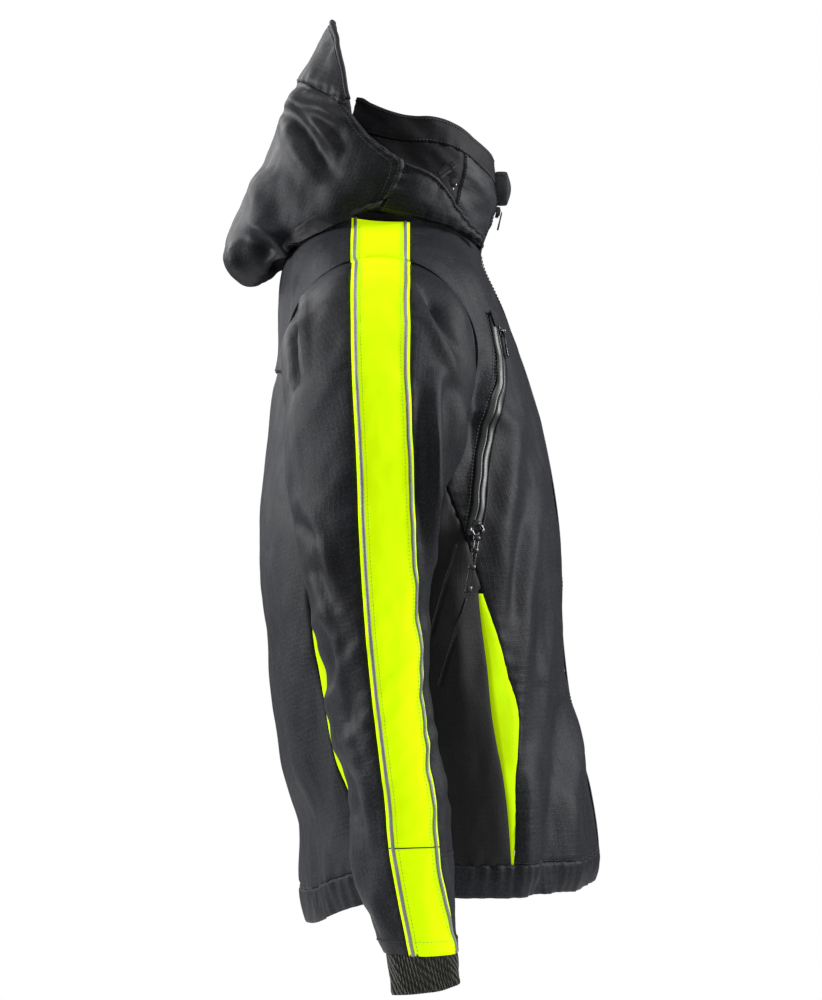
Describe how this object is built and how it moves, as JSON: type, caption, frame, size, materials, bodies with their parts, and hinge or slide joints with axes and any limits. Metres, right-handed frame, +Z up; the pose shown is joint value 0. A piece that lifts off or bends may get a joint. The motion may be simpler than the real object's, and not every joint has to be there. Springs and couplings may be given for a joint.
{
  "type": "hooded high-visibility work jacket",
  "caption": "Hooded work jacket shell with fluorescent sleeve stripes, reflective piping, stand-up collar, front zip, side chest zips and rib-knit cuffs, posed hollow with arms hanging.",
  "frame": {"origin": "middle of the underside of the hanger loop at the back of the neck, where a hook bears", "axes": "+Z up, the front of the coat faces -Y, the wearer's right arm is at -X"},
  "size_m": [0.719, 0.3937, 0.976],
  "materials": {
    "shell": "charcoal ripstop shell cloth, satin",
    "lining": "matt black brushed lining",
    "fluorescent": "fluorescent yellow woven polyester",
    "reflective": "grey glass-bead reflective piping",
    "rib": "black rib knit",
    "coated": "glossy film-coated zip tape",
    "enamel": "black enamelled zinc",
    "plastic": "black moulded plastic"
  },
  "bodies": {
    "root": {"back_panel": "shell", "back_yoke": "shell", "chin_guard": "shell", "collar_back": "lining", "collar_lining": "lining", "collar_top_band": "lining", "hanger_loop": "lining", "hood_neck_strip": "shell", "inner_storm_flap": "shell", "left_chest_zip": "coated", "left_collar_front": "shell", "left_cord_lock": "plastic", "left_front_insert": "fluorescent", "left_front_panel": "shell", "left_hem_band": "shell", "left_hood_flap": "shell", "left_rear_insert": "fluorescent", "left_shoulder_stripe": "fluorescent", "left_side_panel": "shell", "main_zip_chain": "plastic", "neck_tape": "lining", "rear_hem_band": "shell", "right_chest_zip": "coated", "right_collar_front": "shell", "right_cord_lock": "plastic", "right_front_insert": "fluorescent", "right_front_panel": "shell", "right_hem_band": "shell", "right_hood_flap": "shell", "right_rear_insert": "fluorescent", "right_shoulder_stripe": "fluorescent", "right_side_panel": "shell"},
    "hood": {"hood_middle_panel": "shell", "left_hood_panel": "shell", "right_hood_panel": "shell", "hood_brim": "shell"},
    "right_sleeve": {"right_sleeve_back": "shell", "right_sleeve_front": "shell", "right_sleeve_piping_back": "reflective", "right_sleeve_piping_front": "reflective", "right_sleeve_stripe": "fluorescent", "right_rib_cuff": "rib"},
    "right_upper_slider": {"right_upper_slider": "enamel"},
    "right_upper_pull": {"right_upper_pull": "enamel"},
    "right_lower_slider": {"right_lower_slider": "enamel"},
    "right_lower_pull": {"right_lower_pull": "enamel"},
    "right_lock_button": {"right_lock_button": "plastic"},
    "left_sleeve": {"left_sleeve_back": "shell", "left_sleeve_front": "shell", "left_sleeve_piping_back": "reflective", "left_sleeve_piping_front": "reflective", "left_sleeve_stripe": "fluorescent", "left_rib_cuff": "rib"},
    "left_upper_slider": {"left_upper_slider": "enamel"},
    "left_upper_pull": {"left_upper_pull": "enamel"},
    "left_lower_slider": {"left_lower_slider": "enamel"},
    "left_lower_pull": {"left_lower_pull": "enamel"},
    "left_lock_button": {"left_lock_button": "plastic"},
    "main_slider": {"main_slider": "enamel"},
    "main_pull": {"main_pull": "enamel"}
  },
  "joints": [
    {"name": "hood_flip", "type": "hinge", "parent": "root", "child": "hood", "pos_m": [0, -0.063, -0.018], "axis": [1, 0, 0], "range_deg": [0, 50]},
    {"name": "right_sleeve_swing", "type": "hinge", "parent": "root", "child": "right_sleeve", "pos_m": [-0.2, -0.037, -0.165], "axis": [-1, 0, 0], "range_deg": [-10, 12]},
    {"name": "left_sleeve_swing", "type": "hinge", "parent": "root", "child": "left_sleeve", "pos_m": [0.2, -0.037, -0.165], "axis": [-1, 0, 0], "range_deg": [-10, 12]},
    {"name": "main_slider_slide", "type": "slide", "parent": "root", "child": "main_slider", "axis": [0, 0.2295, -0.9733], "range_m": [0, 0.022]},
    {"name": "main_pull_hinge", "type": "hinge", "parent": "main_slider", "child": "main_pull", "pos_m": [0, -0.16407, -0.0091], "axis": [-1, 0, 0], "range_deg": [0, 110]},
    {"name": "right_upper_slider_slide", "type": "slide", "parent": "root", "child": "right_upper_slider", "axis": [-0.2975, -0.1628, -0.9407], "range_m": [0, 0.025]},
    {"name": "right_upper_pull_hinge", "type": "hinge", "parent": "right_upper_slider", "child": "right_upper_pull", "pos_m": [-0.14277, -0.16242, -0.1386], "axis": [-0.8496, 0.4946, 0.1831], "range_deg": [0, 110]},
    {"name": "right_lower_slider_slide", "type": "slide", "parent": "root", "child": "right_lower_slider", "axis": [0.2735, -0.1583, 0.9488], "range_m": [0, 0.025]},
    {"name": "right_lower_pull_hinge", "type": "hinge", "parent": "right_lower_slider", "child": "right_lower_pull", "pos_m": [-0.23543, -0.13506, -0.33469], "axis": [-0.3472, 0.9036, 0.2509], "range_deg": [0, 110]},
    {"name": "right_lock_press", "type": "slide", "parent": "root", "child": "right_lock_button", "axis": [0, 0.8, -0.6], "range_m": [0, 0.002], "stiffness_N_per_m": 200, "springref_m": -0.0003},
    {"name": "left_upper_slider_slide", "type": "slide", "parent": "root", "child": "left_upper_slider", "axis": [0.2975, -0.1628, -0.9407], "range_m": [0, 0.025]},
    {"name": "left_upper_pull_hinge", "type": "hinge", "parent": "left_upper_slider", "child": "left_upper_pull", "pos_m": [0.14277, -0.16242, -0.1386], "axis": [-0.8496, -0.4946, -0.1831], "range_deg": [0, 110]},
    {"name": "left_lower_slider_slide", "type": "slide", "parent": "root", "child": "left_lower_slider", "axis": [-0.2735, -0.1583, 0.9488], "range_m": [0, 0.025]},
    {"name": "left_lower_pull_hinge", "type": "hinge", "parent": "left_lower_slider", "child": "left_lower_pull", "pos_m": [0.23543, -0.13506, -0.33469], "axis": [-0.3472, -0.9036, -0.2509], "range_deg": [0, 110]},
    {"name": "left_lock_press", "type": "slide", "parent": "root", "child": "left_lock_button", "axis": [0, 0.8, -0.6], "range_m": [0, 0.002], "stiffness_N_per_m": 200, "springref_m": -0.0003}
  ]
}
